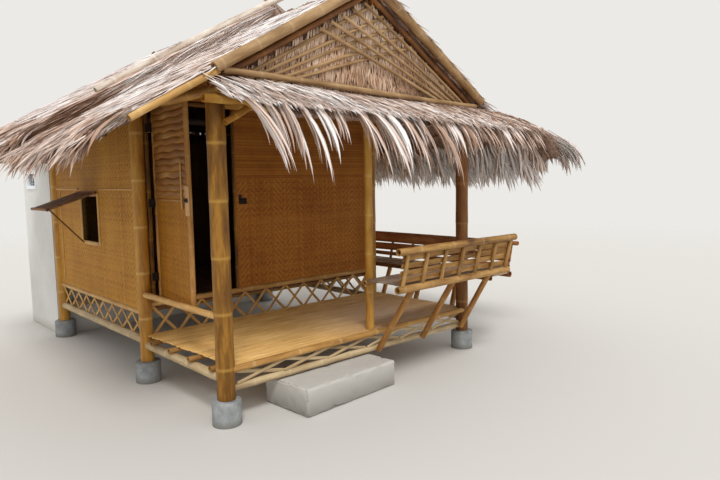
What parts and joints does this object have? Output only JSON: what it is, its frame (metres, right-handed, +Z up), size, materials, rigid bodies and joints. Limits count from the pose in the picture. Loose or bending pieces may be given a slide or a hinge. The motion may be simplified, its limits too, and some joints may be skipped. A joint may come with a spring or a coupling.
{
  "type": "bamboo stilt house",
  "caption": "Matted bamboo house on short posts with an open porch, gabled thatch roof, hinged door, propped shutter, leaning benches and a masonry annex.",
  "frame": {"origin": "ground level under the middle of the front left footing", "axes": "+X to the right along the porch front, +Y back from the porch to the annex, +Z up"},
  "size_m": [4.8, 5.37, 3.4863],
  "materials": {
    "footings": "rough cast concrete",
    "porch_posts": "varnished bamboo",
    "room_posts": "varnished bamboo",
    "slim_post": "light varnished bamboo",
    "lower_beams": "varnished bamboo",
    "deck_joists": "varnished bamboo",
    "deck_mat": "flattened split bamboo",
    "handrail": "varnished bamboo",
    "side_lattices": "light varnished bamboo",
    "front_lattices": "light varnished bamboo",
    "floor_rails": "varnished bamboo",
    "room_floor": "flattened split bamboo",
    "left_wall": "woven split bamboo mat",
    "right_wall": "woven split bamboo mat",
    "rear_wall": "woven split bamboo mat",
    "front_wall": "woven split bamboo mat",
    "front_gable_wall": "woven split bamboo mat",
    "door_surround": "light varnished bamboo",
    "wall_battens": "light varnished bamboo",
    "hinge_brackets": "dull black",
    "door_frame": "light varnished bamboo",
    "door_panel": "woven split bamboo mat",
    "door_hinges": "dull black",
    "latch_plate": "light varnished bamboo",
    "window_trim": "light varnished bamboo",
    "window_shutter": "weathered split bamboo",
    "shutter_prop": "varnished bamboo",
    "side_plates": "varnished bamboo",
    "cross_beams": "varnished bamboo",
    "king_posts": "varnished bamboo",
    "knee_braces": "light varnished bamboo",
    "rafters": "varnished bamboo",
    "ridge_and_battens": "varnished bamboo",
    "porch_thatch": "dry palm leaf thatch",
    "room_thatch": "dry palm leaf thatch",
    "roof_poles": "light varnished bamboo",
    "gable_infill": "dry brown palm leaves",
    "gable_lattice": "light varnished bamboo",
    "verge_poles": "light varnished bamboo",
    "awning_thatch": "dry palm leaf thatch",
    "awning_poles": "varnished bamboo",
    "bench_seats": "varnished bamboo",
    "bench_backs": "light varnished bamboo",
    "bench_struts": "varnished bamboo",
    "step_block": "smooth cast concrete",
    "annex_walls": "painted plaster",
    "annex_roof": "painted concrete",
    "annex_window_frame": "white paint",
    "annex_louvres": "frosted glass"
  },
  "bodies": {
    "house": {"footings": "footings", "porch_posts": "porch_posts", "room_posts": "room_posts", "slim_post": "slim_post", "lower_beams": "lower_beams", "deck_joists": "deck_joists", "deck_mat": "deck_mat", "handrail": "handrail", "side_lattices": "side_lattices", "front_lattices": "front_lattices", "floor_rails": "floor_rails", "room_floor": "room_floor", "left_wall": "left_wall", "right_wall": "right_wall", "rear_wall": "rear_wall", "front_wall": "front_wall", "front_gable_wall": "front_gable_wall", "door_surround": "door_surround", "wall_battens": "wall_battens", "hinge_brackets": "hinge_brackets", "window_trim": "window_trim", "window_shutter": "window_shutter", "shutter_prop": "shutter_prop", "side_plates": "side_plates", "cross_beams": "cross_beams", "king_posts": "king_posts", "knee_braces": "knee_braces", "rafters": "rafters", "ridge_and_battens": "ridge_and_battens", "porch_thatch": "porch_thatch", "room_thatch": "room_thatch", "roof_poles": "roof_poles", "gable_infill": "gable_infill", "gable_lattice": "gable_lattice", "verge_poles": "verge_poles", "awning_thatch": "awning_thatch", "awning_poles": "awning_poles", "bench_seats": "bench_seats", "bench_backs": "bench_backs", "bench_struts": "bench_struts", "step_block": "step_block", "annex_walls": "annex_walls", "annex_roof": "annex_roof", "annex_window_frame": "annex_window_frame", "annex_louvres": "annex_louvres"},
    "door_leaf": {"door_frame": "door_frame", "door_panel": "door_panel", "door_hinges": "door_hinges", "latch_plate": "latch_plate"}
  },
  "joints": [
    {"name": "door_hinge", "type": "hinge", "parent": "house", "child": "door_leaf", "pos_m": [0.1053, 1.272, 1.53], "axis": [0, 0, 1], "range_deg": [0, 96.5]}
  ]
}
